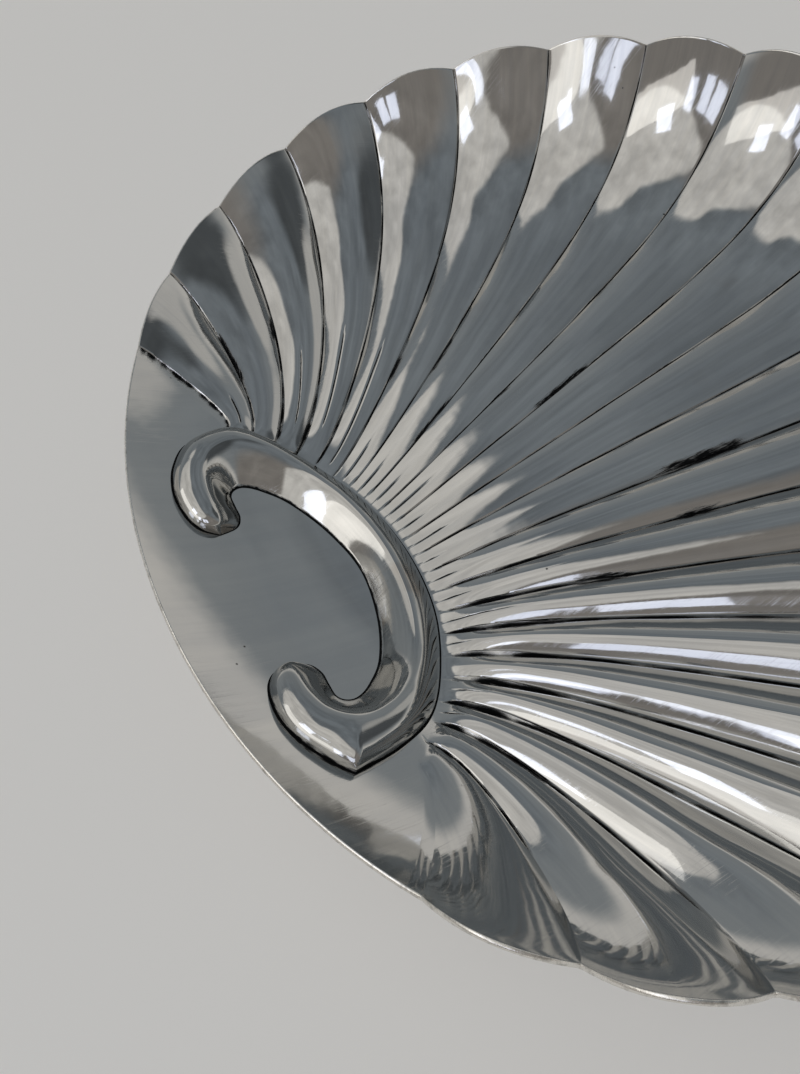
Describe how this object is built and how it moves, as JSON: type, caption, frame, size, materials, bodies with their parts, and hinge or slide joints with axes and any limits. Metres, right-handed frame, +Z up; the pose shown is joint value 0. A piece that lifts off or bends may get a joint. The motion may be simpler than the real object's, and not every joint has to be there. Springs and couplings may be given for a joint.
{
  "type": "scallop shell dish",
  "caption": "Oval serving dish shaped as a scallop shell: fluted bowl with upturned scalloped rim, an applied C-scroll at the hinge end, standing on small ball feet.",
  "frame": {"origin": "under the middle of the dish's box, on the plane the ball feet stand on", "axes": "+Z up out of the bowl; +Y along the shell's axis from the scroll to the open edge of the fan; +X across the dish, its longest side"},
  "size_m": [0.3126, 0.2702, 0.0556],
  "materials": {
    "dish_silver": "polished silver sheet with darkened chased lines",
    "scroll_silver": "polished silver, hand burnished",
    "foot_silver": "polished silver, worn underneath"
  },
  "bodies": {
    "root": {"dish_shell": "dish_silver", "scroll_handle": "scroll_silver", "foot_rear": "foot_silver", "foot_front_right": "foot_silver", "foot_front_left": "foot_silver"}
  },
  "joints": []
}
